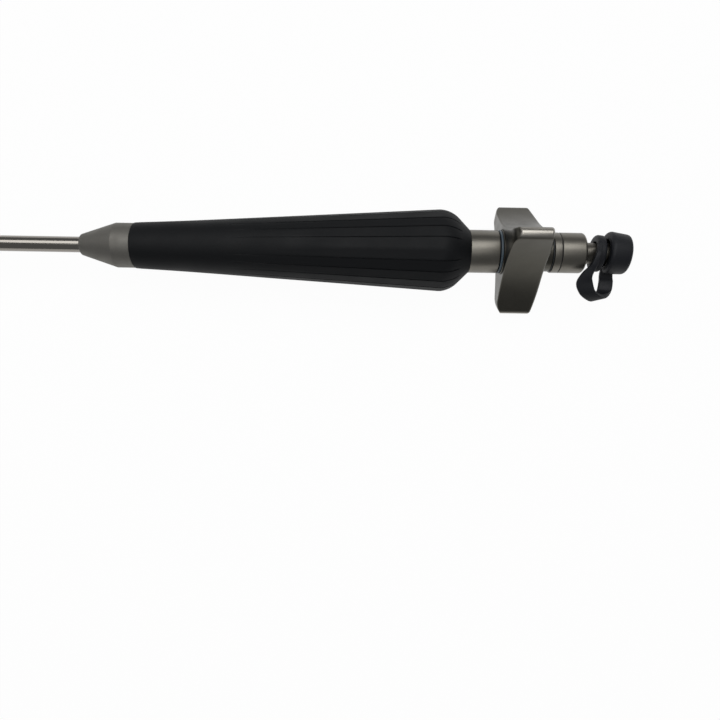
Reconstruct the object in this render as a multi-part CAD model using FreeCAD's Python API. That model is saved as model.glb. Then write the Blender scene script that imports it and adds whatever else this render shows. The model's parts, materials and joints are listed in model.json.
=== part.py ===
import FreeCAD, Part
import math
import os

# Articulating 5 mm laparoscopic retractor, in millimetres.
# X runs along the instrument and +X points to the rear, Y lies in the plane of the bent links,
# and Z is up from the table that it lies on. The origin is on the axis at the nose cone's front face.

# Fits
SEAT_GAP = 0.02             # a brazed, screwed or pressed seat, on the radius
RUN_GAP = 0.05              # a turning or sliding fit, on the radius
FACE_GAP = 0.05             # between end faces that slide on each other

# Shaft
SHAFT_R = 2.5
SHAFT_WALL = 0.5
SHAFT_LENGTH = 280.0        # from the nose cone to the first link's base
SHAFT_SEAT_R = 2.3          # the end inside the nose cone is stepped down
SHAFT_SEAT_DEPTH = 8.0

# Nose cone
NOSE_TIP_R = 3.3
NOSE_R = 7.07
NOSE_SHOULDER_X = 11.4
NOSE_LENGTH = 17.2
NOSE_TIP_ROUNDING = 0.7
NOSE_SHOULDER_ROUNDING = 5.0

# Grip
GRIP_LENGTH = 106.4
GRIP_FRONT_R = 7.25
GRIP_WAIST_X = 32.0         # where the taper steepens
GRIP_WAIST_R = 7.9
GRIP_BULGE_R = 12.9
GRIP_DOME_R = 8.73          # arc that rolls the bulge over to the rear cone
GRIP_DOME_DEG = 45.0
FLUTE_PITCHES = 22          # round the grip; the top and bottom ones are left plain
FLUTE_WIDTH = 0.45
FLUTE_DEPTH = 0.35
FLUTE_START_X = 50.0
FLUTE_RUN_OUT = 3.4         # length left plain ahead of the neck
FLUTE_TILT_DEG = 6.8        # plain panel's turn from +Z
FLAT_FULL_X = 85.0          # where the flats between the grooves reach their full width
FLAT_HALF_DEG = 6.5         # half a flat's width, as an angle at the axis

# Core spindle
CORE_R = 4.5
CORE_BORE_R = 3.2
NECK_R = 6.77
NECK_LENGTH = 9.0
SPIGOT_R = 4.3

# Knob
WASHER_THICKNESS = 0.65
WASHER_SHADOW_GAP = 0.3     # ahead of the front washer
WASHER_R = 6.85
KNOB_LENGTH = 13.05         # from the front boss to the root of the hub
KNOB_BOSS_R = 7.2
KNOB_BOSS_HEIGHT = 0.4
KNOB_HUB_LENGTH = 2.65
KNOB_HUB_R = 6.0
KNOB_TIP_R = 20.6
KNOB_LOBE_ROUNDING = 2.0
KNOB_FLANK_HOLLOW = 2.8     # how far each flank dips below its straight tangent
KNOB_FIRST_LOBE_DEG = 83.2  # from +Y towards +Z
KNOB_LOBES = 3
KNOB_FRONT_FLAT_R = 16.0    # the front face is flat to here
KNOB_FRONT_DROP = 2.6       # and then rolls back this far at the lobe tips
KNOB_REAR_FLAT_R = 9.0
KNOB_REAR_DROP = 1.6
KNOB_EDGE = 0.4             # every outer edge is bevelled
KNOB_CHAMBER_R = 6.0
KNOB_REAR_WALL = 3.2

# Drive inside the knob and the grip
PULL_TRAVEL = 6.0           # four turns of the 1.5 mm thread
CARRIER_LENGTH = 4.0
CARRIER_FRONT_SPACE = 2.0
PIN_R = 0.9
PIN_END_SPACE = 0.35
DRAWBAR_LENGTH = 34.0
DRAWBAR_TAIL = 3.5          # behind the cross pin
DRAWBAR_SOCKET = 8.0
PULL_ROD_R = 1.2
CLAMP_R = 1.85
CLAMP_LENGTH = 12.0
CLAMP_SOCKET = 4.0
CLAMP_TO_BASE = 8.0         # free wire between the clamp and the links' base

# Rear end
REAR_WASHER_THICKNESS = 0.3
REAR_R = 6.38
COLLAR_LENGTH = 2.25
COLLAR_EDGE = 0.2           # bevel
GASKET_THICKNESS = 0.25
GASKET_R = 6.2
HOUSING_LENGTH = 7.75
HOUSING_ROUNDING = 0.9
HOUSING_REAR_WALL = 2.6

# Flushing port
PORT_R = 3.35
PORT_LENGTH = 12.2
PORT_SHANK_R = 2.6
PORT_SHANK_LENGTH = 2.3
PORT_MOUTH_R = 2.15
PORT_CONE_DEPTH = 8.0
PORT_CONE_SLOPE = 0.03      # radius lost per millimetre, the six per cent cone
PORT_PASSAGE_R = 1.2
LUG_R = 3.9
LUG_LENGTH = 1.2
LUG_WIDTH = 3.2
O_RING_CORD_R = 0.37

# Cap and its tether
RING_TO_HOUSING = 3.4
RING_WIDTH = 2.4
RING_R = 5.8
RING_HOLE_GAP = 0.35
RING_TILT_DEG = -6.0
CAP_TO_HOUSING = 7.25
CAP_FRONT_R = 6.75
CAP_REAR_R = 6.25
CAP_LENGTH = 7.0
CAP_FRONT_ROUNDING = 1.3
CAP_REAR_ROUNDING = 1.2
CAP_TILT_DEG = -5.0
CAP_HOLLOW_GAP = 0.5
STRAP_WIDTH = 4.9           # across the loop; it narrows towards the ring
STRAP_THICKNESS = 1.5
STRAP_END_GAP = 0.35        # to the ring and to the cap, which it is moulded to

# Links
LINK_R = 2.3
NEAR_SIDE_PITCH = 24.0      # hinge to hinge along the triangle's first side
FAR_SIDE_PITCH = 20.0       # and along its other two
CORNER_PITCH = 12.0
TIP_LINK_LENGTH = 18.0
BASE_HEAD_LENGTH = 5.0
BASE_SPIGOT_LENGTH = 8.0
ROCKER_R = 0.75
ROCKER_GAP = 0.04
LINK_EDGE = 0.15            # bevel round both ends
WIRE_R = 0.3
WIRE_HOLE_R = 0.45
WIRE_OFFSET = 1.3           # each wire's distance from the axis, along Y
RELIEF_EXTRA_DEG = 1.0
TIP_POCKET_DEPTH = 4.0
TIP_POCKET_R = 1.85
ANCHOR_LENGTH = 3.5

# The chain from the base to the tip: two hinges on the first side, three round a corner, one in the
# middle of the far side, three round the other corner, and one in the middle of the last side
FIRST_TURN_DEG = 40.0
SIDE_TURN_DEG = -10.0
CORNER_TURN_DEG = -36.0
HINGE_TURNS = ([FIRST_TURN_DEG, SIDE_TURN_DEG] + [CORNER_TURN_DEG] * 3 + [SIDE_TURN_DEG]
               + [CORNER_TURN_DEG] * 3 + [SIDE_TURN_DEG])
LINK_PITCHES = ([NEAR_SIDE_PITCH] * 2 + [CORNER_PITCH] * 2 + [FAR_SIDE_PITCH] * 2
                + [CORNER_PITCH] * 2 + [FAR_SIDE_PITCH])

# Places along X, each from the piece ahead of it
CORE_FRONT_X = SHAFT_SEAT_DEPTH
NECK_X = NOSE_LENGTH + GRIP_LENGTH
NECK_REAR_X = NECK_X + NECK_LENGTH
WASHER_X = NECK_REAR_X + WASHER_SHADOW_GAP
KNOB_X = WASHER_X + WASHER_THICKNESS + FACE_GAP
KNOB_HUB_X = KNOB_X + KNOB_LENGTH
KNOB_REAR_X = KNOB_HUB_X + KNOB_HUB_LENGTH
REAR_WASHER_X = KNOB_REAR_X + FACE_GAP
COLLAR_X = REAR_WASHER_X + REAR_WASHER_THICKNESS + FACE_GAP
GASKET_X = COLLAR_X + COLLAR_LENGTH
HOUSING_X = GASKET_X + GASKET_THICKNESS
HOUSING_REAR_X = HOUSING_X + HOUSING_LENGTH
SPIGOT_REAR_X = HOUSING_REAR_X - HOUSING_REAR_WALL - FACE_GAP
CARRIER_X = KNOB_X + CARRIER_FRONT_SPACE
PIN_X = CARRIER_X + CARRIER_LENGTH / 2
CARRIER_R = KNOB_CHAMBER_R - RUN_GAP
DRAWBAR_REAR_X = PIN_X + DRAWBAR_TAIL
DRAWBAR_X = DRAWBAR_REAR_X - DRAWBAR_LENGTH
DRAWBAR_R = CORE_BORE_R - RUN_GAP
BASE_X = -SHAFT_LENGTH
FIRST_PIVOT_X = BASE_X - BASE_HEAD_LENGTH
CLAMP_FRONT_X = BASE_X + BASE_SPIGOT_LENGTH + CLAMP_TO_BASE
CLAMP_REAR_X = CLAMP_FRONT_X + CLAMP_LENGTH
PORT_MOUTH_X = HOUSING_REAR_X + PORT_LENGTH
SHAFT_BORE_R = SHAFT_R - SHAFT_WALL
FAR = 200.0                 # longer than any piece that a cutter passes through


def point(x, y, z=0.0):
    return FreeCAD.Vector(x, y, z)


def rod(x0, x1, radius, y=0.0, z=0.0):
    """A straight round bar along X."""
    return Part.makeCylinder(radius, x1 - x0, point(x0, y, z), point(1, 0, 0))


def tube(x0, x1, outer, inner):
    return rod(x0, x1, outer).cut(rod(x0 - 1, x1 + 1, inner))


def upright(x, radius, y=0.0):
    """A round bar along Z that crosses the instrument at x."""
    return Part.makeCylinder(radius, FAR, point(x, y, -FAR / 2), point(0, 0, 1))


def outline_face(start, steps):
    """A face in the XY plane; a step is a line to a point, or an arc through one point to another."""
    edges = []
    here = point(*start)
    for step in steps:
        end = point(*step[-1])
        if len(step) == 1:
            edges.append(Part.LineSegment(here, end).toShape())
        else:
            edges.append(Part.Arc(here, point(*step[0]), end).toShape())
        here = end
    edges.append(Part.LineSegment(here, point(*start)).toShape())
    return Part.Face(Part.Wire(edges))


def turned(start, steps):
    """The outline, given as distance along X and radius, turned about the X axis."""
    face = outline_face(start, steps)
    return face.revolve(point(0, 0, 0), point(1, 0, 0), 360)


def circles_at(solid, rims):
    """The circular edges that lie at the given x with the given radius."""
    chosen = []
    for edge in solid.Edges:
        curve = edge.Curve
        if not isinstance(curve, Part.Circle):
            continue
        for rim_x, rim_r in rims:
            if abs(curve.Center.x - rim_x) < 0.01 and abs(curve.Radius - rim_r) < 0.01:
                chosen.append(edge)
    return chosen


def round_rims(solid, radius, rims):
    return solid.makeFillet(radius, circles_at(solid, rims))


def bevel_rims(solid, size, rims):
    return solid.makeChamfer(size, circles_at(solid, rims))


def shaft_tube():
    body = rod(BASE_X, 0, SHAFT_R).fuse(rod(-1, SHAFT_SEAT_DEPTH, SHAFT_SEAT_R)).removeSplitter()
    return body.cut(rod(BASE_X - 1, SHAFT_SEAT_DEPTH + 1, SHAFT_BORE_R))


def nose_cone():
    body = turned((0, 0), [[(0, NOSE_TIP_R)], [(NOSE_SHOULDER_X, NOSE_R)], [(NOSE_LENGTH, NOSE_R)],
                           [(NOSE_LENGTH, 0)]])
    body = round_rims(body, NOSE_SHOULDER_ROUNDING, [(NOSE_SHOULDER_X, NOSE_R)])
    body = round_rims(body, NOSE_TIP_ROUNDING, [(0, NOSE_TIP_R)])
    body = body.cut(rod(-1, NOSE_LENGTH, SHAFT_SEAT_R + SEAT_GAP))
    return body.cut(rod(SHAFT_SEAT_DEPTH, NOSE_LENGTH + 1, CORE_R + SEAT_GAP))


def grip_dome():
    """The bulge's arc: its start, middle and end, and where the rear cone meets the neck."""
    turn = math.radians(GRIP_DOME_DEG)
    centre_r = GRIP_BULGE_R - GRIP_DOME_R
    # the rear cone leaves the arc at its tangent and comes down to the neck's own radius
    cone_length = (centre_r + GRIP_DOME_R * math.cos(turn) - NECK_R) / math.tan(turn)
    centre_x = NECK_X - cone_length - GRIP_DOME_R * math.sin(turn)
    points = []
    for share in (0.0, 0.5, 1.0):
        angle = turn * share
        points.append((centre_x + GRIP_DOME_R * math.sin(angle),
                       centre_r + GRIP_DOME_R * math.cos(angle)))
    return points


def grip():
    """The moulded grip: a slow taper that swells to a bulge, with narrow grooves between flats."""
    bulge, dome_middle, dome_end = grip_dome()
    body = turned((NOSE_LENGTH, 0), [[(NOSE_LENGTH, GRIP_FRONT_R)], [(GRIP_WAIST_X, GRIP_WAIST_R)],
                                     [bulge], [dome_middle, dome_end], [(NECK_X, NECK_R)],
                                     [(NECK_X, 0)]])
    for number in range(FLUTE_PITCHES):
        cutter = flat_cutter(bulge)
        angle = 360.0 * (number + 0.5) / FLUTE_PITCHES + 90.0 + FLUTE_TILT_DEG
        cutter.rotate(point(0, 0, 0), point(1, 0, 0), angle)
        body = body.cut(cutter)
    cutters = []
    for number in range(FLUTE_PITCHES):
        if number % (FLUTE_PITCHES // 2) == 0:
            continue
        cutter = flute_cutter(bulge, dome_middle, dome_end)
        angle = 360.0 * number / FLUTE_PITCHES + 90.0 + FLUTE_TILT_DEG
        cutter.rotate(point(0, 0, 0), point(1, 0, 0), angle)
        cutters.append(cutter)
    body = body.cut(Part.makeCompound(cutters))
    return body.cut(rod(0, NECK_X + 1, CORE_R + SEAT_GAP))


def flat_cutter(bulge):
    """A block that planes a shallow flat between two grooves, from nothing where the grooves start."""
    slope = (GRIP_BULGE_R - GRIP_WAIST_R) / (bulge[0] - GRIP_WAIST_X)
    inset = math.cos(math.radians(FLAT_HALF_DEG))
    start_r = GRIP_WAIST_R + slope * (FLUTE_START_X - GRIP_WAIST_X)
    full_r = GRIP_WAIST_R + slope * (FLAT_FULL_X - GRIP_WAIST_X)
    flat_r = GRIP_BULGE_R * inset
    outside_r = GRIP_BULGE_R + 1
    block = outline_face((FLUTE_START_X, start_r + RUN_GAP),
                         [[(FLAT_FULL_X, full_r * inset)], [(bulge[0], flat_r)], [(NECK_X, flat_r)],
                          [(NECK_X, outside_r)], [(FLUTE_START_X, outside_r)]])
    half_width = 2 * GRIP_BULGE_R * math.sin(math.radians(FLAT_HALF_DEG))
    block.translate(point(0, 0, -half_width))
    return block.extrude(point(0, 0, 2 * half_width))


def flute_cutter(bulge, dome_middle, dome_end):
    """A thin fin whose inner edge deepens from the surface, follows the dome and runs out on it."""
    slope = (GRIP_BULGE_R - GRIP_WAIST_R) / (bulge[0] - GRIP_WAIST_X)
    start_r = GRIP_WAIST_R + slope * (FLUTE_START_X - GRIP_WAIST_X)
    lean = math.radians(GRIP_DOME_DEG)
    run_out_x = NECK_X - FLUTE_RUN_OUT
    run_out_r = NECK_R + FLUTE_RUN_OUT * math.tan(lean)
    floor_bulge = (bulge[0], bulge[1] - FLUTE_DEPTH)
    middle_lean = lean / 2
    floor_middle = (dome_middle[0] - FLUTE_DEPTH * math.sin(middle_lean),
                    dome_middle[1] - FLUTE_DEPTH * math.cos(middle_lean))
    floor_end = (dome_end[0] - FLUTE_DEPTH * math.sin(lean), dome_end[1] - FLUTE_DEPTH * math.cos(lean))
    outside_r = GRIP_BULGE_R + 1
    fin = outline_face((FLUTE_START_X, start_r),
                       [[floor_bulge], [floor_middle, floor_end], [(run_out_x, run_out_r)],
                        [(run_out_x + 1, outside_r)], [(FLUTE_START_X, outside_r)]])
    fin.translate(point(0, 0, -FLUTE_WIDTH / 2))
    return fin.extrude(point(0, 0, FLUTE_WIDTH))


def core_spindle():
    """Tube through the grip, with the bare neck behind it and the spigot that the knob turns on."""
    body = rod(CORE_FRONT_X, NECK_X + 1, CORE_R)
    body = body.fuse(rod(NECK_X, NECK_REAR_X, NECK_R))
    body = body.fuse(rod(NECK_REAR_X - 1, SPIGOT_REAR_X, SPIGOT_R))
    body = body.removeSplitter()
    body = body.cut(rod(CORE_FRONT_X - 1, SPIGOT_REAR_X + 1, CORE_BORE_R))
    half_width = PIN_R + RUN_GAP
    slot = Part.makeBox(PULL_TRAVEL, 2 * half_width, FAR, point(PIN_X, -half_width, -FAR / 2))
    slot = slot.fuse([upright(PIN_X, half_width), upright(PIN_X + PULL_TRAVEL, half_width)])
    return body.cut(slot)


def thrust_washer():
    return tube(WASHER_X, WASHER_X + WASHER_THICKNESS, WASHER_R, SPIGOT_R + RUN_GAP)


def knob_plan():
    """The knob's three-lobed outline seen from behind: lobe arcs joined by long hollow flanks."""
    lobe_r = KNOB_LOBE_ROUNDING
    lobe_centre = KNOB_TIP_R - lobe_r
    half_step = math.pi / KNOB_LOBES
    waist = lobe_centre * math.cos(half_step) + lobe_r - KNOB_FLANK_HOLLOW
    # the flank's radius makes it tangent to the lobe arcs on both sides
    flank_r = (waist ** 2 + lobe_centre ** 2 - 2 * waist * lobe_centre * math.cos(half_step)
               - lobe_r ** 2) / (2 * KNOB_FLANK_HOLLOW)
    flank_centre = waist + flank_r
    edges = []
    for number in range(KNOB_LOBES):
        lobe_turn = math.radians(KNOB_FIRST_LOBE_DEG) + 2 * half_step * number

        def placed(distance_along, distance_across):
            y = distance_along * math.cos(lobe_turn) - distance_across * math.sin(lobe_turn)
            z = distance_along * math.sin(lobe_turn) + distance_across * math.cos(lobe_turn)
            return point(0, y, z)

        centre_along = flank_centre * math.cos(half_step)
        centre_across = flank_centre * math.sin(half_step)
        reach = math.hypot(centre_along - lobe_centre, centre_across)
        touch_along = lobe_centre + lobe_r * (centre_along - lobe_centre) / reach
        touch_across = lobe_r * centre_across / reach
        edges.append(Part.Arc(placed(touch_along, -touch_across), placed(KNOB_TIP_R, 0),
                              placed(touch_along, touch_across)).toShape())
        far_turn = 2 * half_step
        far_along = touch_along * math.cos(far_turn) + touch_across * math.sin(far_turn)
        far_across = touch_along * math.sin(far_turn) - touch_across * math.cos(far_turn)
        edges.append(Part.Arc(placed(touch_along, touch_across),
                              placed(waist * math.cos(half_step), waist * math.sin(half_step)),
                              placed(far_along, far_across)).toShape())
    return Part.Face(Part.Wire(edges))


def rolled_off(flat_x, flat_r, end_x, end_r):
    """An arc that leaves a flat face at its tangent and falls away to the end: its middle and end."""
    drop = end_x - flat_x
    rise = end_r - flat_r
    arc_r = (drop ** 2 + rise ** 2) / (2 * drop)
    half_turn = math.atan2(rise, abs(arc_r) - abs(drop)) / 2
    middle = (flat_x + arc_r * (1 - math.cos(half_turn)), flat_r + abs(arc_r) * math.sin(half_turn))
    return [middle, (end_x, end_r)]


def knob():
    plan = knob_plan()
    plan.translate(point(KNOB_X - 1, 0, 0))
    prism = plan.extrude(point(KNOB_LENGTH + 2, 0, 0))
    face_x = KNOB_X + KNOB_BOSS_HEIGHT
    past_tip_r = KNOB_TIP_R + 0.5
    front_roll = rolled_off(face_x, KNOB_FRONT_FLAT_R, face_x + KNOB_FRONT_DROP, past_tip_r)
    rear_middle, rear_end = rolled_off(KNOB_HUB_X, KNOB_REAR_FLAT_R, KNOB_HUB_X - KNOB_REAR_DROP, past_tip_r)
    faces = turned((face_x, 0), [
        [(face_x, KNOB_FRONT_FLAT_R)],
        front_roll,
        [rear_end],
        [rear_middle, (KNOB_HUB_X, KNOB_REAR_FLAT_R)],
        [(KNOB_HUB_X, 0)]])
    head = prism.common(faces)
    rims = []
    for edge in head.Edges:
        runs_round = edge.BoundBox.XLength < KNOB_LENGTH / 2
        curve = edge.Curve
        if isinstance(curve, Part.Circle) and math.hypot(curve.Center.y, curve.Center.z) < 0.01:
            continue
        if runs_round:
            rims.append(edge)
    head = head.makeChamfer(KNOB_EDGE, rims)
    body = head.fuse([rod(KNOB_HUB_X - 1, KNOB_REAR_X, KNOB_HUB_R), rod(KNOB_X, face_x + 1, KNOB_BOSS_R)])
    body = body.removeSplitter()
    chamber_end_x = KNOB_REAR_X - KNOB_REAR_WALL
    body = body.cut(rod(KNOB_X - 1, chamber_end_x, KNOB_CHAMBER_R))
    return body.cut(rod(chamber_end_x - 1, KNOB_REAR_X + 1, SPIGOT_R + RUN_GAP))


def carrier_nut():
    """The threaded ring that the knob winds back and that the slotted spigot keeps from turning."""
    body = tube(CARRIER_X, CARRIER_X + CARRIER_LENGTH, CARRIER_R, SPIGOT_R + RUN_GAP)
    return body.cut(upright(PIN_X, PIN_R + SEAT_GAP))


def cross_pin():
    half_length = CARRIER_R - PIN_END_SPACE
    return Part.makeCylinder(PIN_R, 2 * half_length, point(PIN_X, 0, -half_length), point(0, 0, 1))


def drawbar():
    body = rod(DRAWBAR_X, DRAWBAR_REAR_X, DRAWBAR_R)
    body = body.cut(rod(DRAWBAR_X - 1, DRAWBAR_X + DRAWBAR_SOCKET, PULL_ROD_R + SEAT_GAP))
    return body.cut(upright(PIN_X, PIN_R + SEAT_GAP))


def pull_rod():
    return rod(CLAMP_REAR_X - CLAMP_SOCKET, DRAWBAR_X + DRAWBAR_SOCKET, PULL_ROD_R)


def wire_clamp():
    body = rod(CLAMP_FRONT_X, CLAMP_REAR_X, CLAMP_R)
    return body.cut(rod(CLAMP_REAR_X - CLAMP_SOCKET, CLAMP_REAR_X + 1, PULL_ROD_R + SEAT_GAP))


def rear_washer():
    return tube(REAR_WASHER_X, REAR_WASHER_X + REAR_WASHER_THICKNESS, KNOB_HUB_R, SPIGOT_R + RUN_GAP)


def collar():
    body = tube(COLLAR_X, GASKET_X, REAR_R, SPIGOT_R + SEAT_GAP)
    return bevel_rims(body, COLLAR_EDGE, [(COLLAR_X, REAR_R), (GASKET_X, REAR_R)])


def housing_gasket():
    return tube(GASKET_X, HOUSING_X, GASKET_R, SPIGOT_R + SEAT_GAP)


def rear_housing():
    body = rod(HOUSING_X, HOUSING_REAR_X, REAR_R)
    body = round_rims(body, HOUSING_ROUNDING, [(HOUSING_REAR_X, REAR_R)])
    body = bevel_rims(body, COLLAR_EDGE, [(HOUSING_X, REAR_R)])
    body = body.cut(rod(HOUSING_X - 1, HOUSING_REAR_X - HOUSING_REAR_WALL, SPIGOT_R + SEAT_GAP))
    return body.cut(rod(HOUSING_X, HOUSING_REAR_X + 1, PORT_SHANK_R + SEAT_GAP))


def luer_port():
    """Flushing port: shank with an O-ring groove, plain stem, and a lugged mouth with a taper."""
    shank_x = HOUSING_REAR_X - PORT_SHANK_LENGTH
    body = rod(shank_x, HOUSING_REAR_X + 1, PORT_SHANK_R)
    body = body.fuse(rod(HOUSING_REAR_X, PORT_MOUTH_X, PORT_R)).removeSplitter()
    lugs = rod(PORT_MOUTH_X - LUG_LENGTH, PORT_MOUTH_X, LUG_R)
    across = Part.makeBox(LUG_LENGTH + 2, LUG_WIDTH, FAR,
                          point(PORT_MOUTH_X - LUG_LENGTH - 1, -LUG_WIDTH / 2, -FAR / 2))
    body = body.fuse(lugs.common(across))
    cone_end_x = PORT_MOUTH_X - PORT_CONE_DEPTH
    cone_end_r = PORT_MOUTH_R - PORT_CONE_DEPTH * PORT_CONE_SLOPE
    cone = Part.makeCone(cone_end_r, PORT_MOUTH_R, PORT_CONE_DEPTH, point(cone_end_x, 0), point(1, 0, 0))
    body = body.cut(cone)
    body = body.cut(rod(shank_x - 1, cone_end_x + 0.01, PORT_PASSAGE_R))
    groove_r = PORT_SHANK_R - 2 * O_RING_CORD_R
    groove_x = shank_x + PORT_SHANK_LENGTH / 2
    half_groove = O_RING_CORD_R + SEAT_GAP
    return body.cut(tube(groove_x - half_groove, groove_x + half_groove, PORT_SHANK_R + 1, groove_r))


def port_o_ring():
    groove_x = HOUSING_REAR_X - PORT_SHANK_LENGTH / 2
    return Part.makeTorus(PORT_SHANK_R - O_RING_CORD_R, O_RING_CORD_R, point(groove_x, 0), point(1, 0, 0))


def tether_ring():
    """Rubber ring round the port's stem, leaning a little because the strap pulls on it."""
    ring_x = HOUSING_REAR_X + RING_TO_HOUSING
    body = rod(ring_x, ring_x + RING_WIDTH, RING_R)
    body = round_rims(body, RING_WIDTH * 0.35, [(ring_x, RING_R), (ring_x + RING_WIDTH, RING_R)])
    body.rotate(point(ring_x + RING_WIDTH / 2, 0), point(0, 0, 1), RING_TILT_DEG)
    return body.cut(rod(ring_x - 2, ring_x + RING_WIDTH + 2, PORT_R + RING_HOLE_GAP))


def cap():
    """Rubber cap pushed over the port's mouth, a little askew, hollow round the lugs."""
    cap_x = HOUSING_REAR_X + CAP_TO_HOUSING
    body = Part.makeCone(CAP_FRONT_R, CAP_REAR_R, CAP_LENGTH, point(cap_x, 0), point(1, 0, 0))
    body = round_rims(body, CAP_REAR_ROUNDING, [(cap_x + CAP_LENGTH, CAP_REAR_R)])
    body = round_rims(body, CAP_FRONT_ROUNDING, [(cap_x, CAP_FRONT_R)])
    body.rotate(point(cap_x, 0), point(0, 0, 1), CAP_TILT_DEG)
    return body.cut(rod(cap_x - 2, PORT_MOUTH_X + CAP_HOLLOW_GAP, LUG_R + CAP_HOLLOW_GAP))


def strap_stations():
    """The strap's centre line, the way its width points, and the share of the full width there."""
    ring_x = HOUSING_REAR_X + RING_TO_HOUSING
    cap_x = HOUSING_REAR_X + CAP_TO_HOUSING
    ring_top = RING_R + STRAP_END_GAP + STRAP_THICKNESS / 2
    cap_bottom = -(CAP_FRONT_R + STRAP_END_GAP)
    return [
        ((ring_x - 0.5, -1.1, ring_top), (0.97, -0.24, 0.0), 0.35),
        ((ring_x - 1.3, -3.9, ring_top - 0.6), (0.95, -0.32, 0.0), 0.37),
        ((ring_x - 1.9, -5.4, ring_top - 1.5), (0.92, -0.38, 0.0), 0.43),
        ((ring_x - 3.0, -7.3, 4.3), (0.93, -0.3, 0.19), 0.67),
        ((ring_x - 3.5, -9.6, 3.1), (0.97, 0.15, 0.21), 1.0),
        ((ring_x - 2.1, -12.5, 2.0), (0.96, 0.12, 0.24), 1.0),
        ((ring_x + 1.6, -13.9, 0.1), (0.95, 0.24, 0.21), 0.96),
        ((cap_x + 0.7, -11.7, -2.4), (0.98, 0.0, 0.18), 0.94),
        ((cap_x + 1.6, -8.8, -2.9), (1.0, 0.0, 0.05), 0.9),
        ((cap_x + 1.2, cap_bottom, -2.4), (1.0, 0.02, 0.0), 0.84),
    ]


def strap_corners(stations, index):
    """The four corners of the strap's section at one station."""
    centre, across, share = stations[index]
    before = point(*stations[max(index - 1, 0)][0])
    after = point(*stations[min(index + 1, len(stations) - 1)][0])
    half_width = point(*across).normalize() * (STRAP_WIDTH * share / 2)
    through = (after - before).cross(half_width).normalize() * (STRAP_THICKNESS / 2)
    corners = []
    for side, face in ((-1, -1), (1, -1), (1, 1), (-1, 1)):
        corners.append(point(*centre) + half_width * side + through * face)
    return corners


def cap_strap():
    """Flat rubber strap from the ring down, round under itself, and up to the cap."""
    stations = strap_stations()
    rows = [strap_corners(stations, index) for index in range(len(stations))]
    faces = []
    for row, next_row in zip(rows, rows[1:]):
        for corner in range(4):
            beside = (corner + 1) % 4
            near = Part.LineSegment(row[corner], row[beside]).toShape()
            far = Part.LineSegment(next_row[corner], next_row[beside]).toShape()
            faces.append(Part.makeRuledSurface(near, far))
    for row in (rows[0], rows[-1]):
        faces.append(Part.Face(Part.makePolygon(row + [row[0]])))
    shell = Part.makeShell(faces)
    shell.sewShape()
    solid = Part.makeSolid(shell)
    if solid.Volume < 0:
        solid.reverse()
    return solid


def wire_holes(solid, x0, x1):
    for side in (-1, 1):
        solid = solid.cut(rod(x0, x1, WIRE_HOLE_R, side * WIRE_OFFSET))
    return solid


def with_rocker(solid, centre_x):
    """Adds the half-round bar that the next link rocks on."""
    rocker = upright(centre_x, ROCKER_R).common(rod(centre_x - 2 * ROCKER_R, centre_x + 1, LINK_R))
    return solid.fuse(rocker).removeSplitter()


def with_socket(solid, centre_x, turn_deg):
    """Cuts the half-round socket and the slanted relief that lets the link turn one way only."""
    solid = solid.cut(upright(centre_x, ROCKER_R + ROCKER_GAP))
    side = -1 if turn_deg > 0 else 1
    reach = 2 * LINK_R
    back = reach * math.tan(math.radians(abs(turn_deg) + RELIEF_EXTRA_DEG))
    relief = Part.Face(Part.makePolygon([
        point(centre_x, 0, -reach), point(centre_x, side * reach, -reach),
        point(centre_x - back, side * reach, -reach), point(centre_x, 0, -reach)]))
    return solid.cut(relief.extrude(point(0, 0, 2 * reach)))


def chain_base():
    """The fixed piece brazed into the shaft's end, with the first rocker on it."""
    body = rod(BASE_X, BASE_X + BASE_SPIGOT_LENGTH, SHAFT_BORE_R - SEAT_GAP)
    body = body.fuse(rod(FIRST_PIVOT_X + FACE_GAP, BASE_X, LINK_R)).removeSplitter()
    body = with_rocker(body, FIRST_PIVOT_X)
    return wire_holes(body, FIRST_PIVOT_X - 5, BASE_X + BASE_SPIGOT_LENGTH + 1)


def pivot_x(number):
    return FIRST_PIVOT_X - sum(LINK_PITCHES[:number])


def link(number):
    """One link: a socket at the end nearer the handle and a rocker at the other."""
    near_x = pivot_x(number)
    far_x = pivot_x(number + 1)
    body = rod(far_x + FACE_GAP, near_x - FACE_GAP, LINK_R)
    body = bevel_rims(body, LINK_EDGE, [(far_x + FACE_GAP, LINK_R), (near_x - FACE_GAP, LINK_R)])
    body = with_rocker(body, far_x)
    body = with_socket(body, near_x, HINGE_TURNS[number])
    return wire_holes(body, far_x - 5, near_x + 1)


def tip_link():
    near_x = pivot_x(len(HINGE_TURNS) - 1)
    end_x = near_x - TIP_LINK_LENGTH
    body = rod(end_x, near_x - FACE_GAP, LINK_R)
    body = bevel_rims(body, LINK_EDGE, [(near_x - FACE_GAP, LINK_R)])
    body = with_socket(body, near_x, HINGE_TURNS[-1])
    body = wire_holes(body, end_x - 1, near_x + 1)
    return body.cut(rod(end_x - 1, end_x + TIP_POCKET_DEPTH, TIP_POCKET_R))


def tip_anchor():
    """The ferrule in the tip link's pocket that both wires are crimped into."""
    end_x = pivot_x(len(HINGE_TURNS) - 1) - TIP_LINK_LENGTH
    rear_x = end_x + TIP_POCKET_DEPTH - SEAT_GAP
    return rod(rear_x - ANCHOR_LENGTH, rear_x, TIP_POCKET_R - SEAT_GAP)


def tip_cap():
    """The round blunt end welded over the tip link."""
    end_x = pivot_x(len(HINGE_TURNS) - 1) - TIP_LINK_LENGTH
    body = Part.makeSphere(LINK_R, point(end_x, 0))
    return body.cut(rod(end_x, end_x + 2 * LINK_R, 2 * LINK_R))


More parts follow.
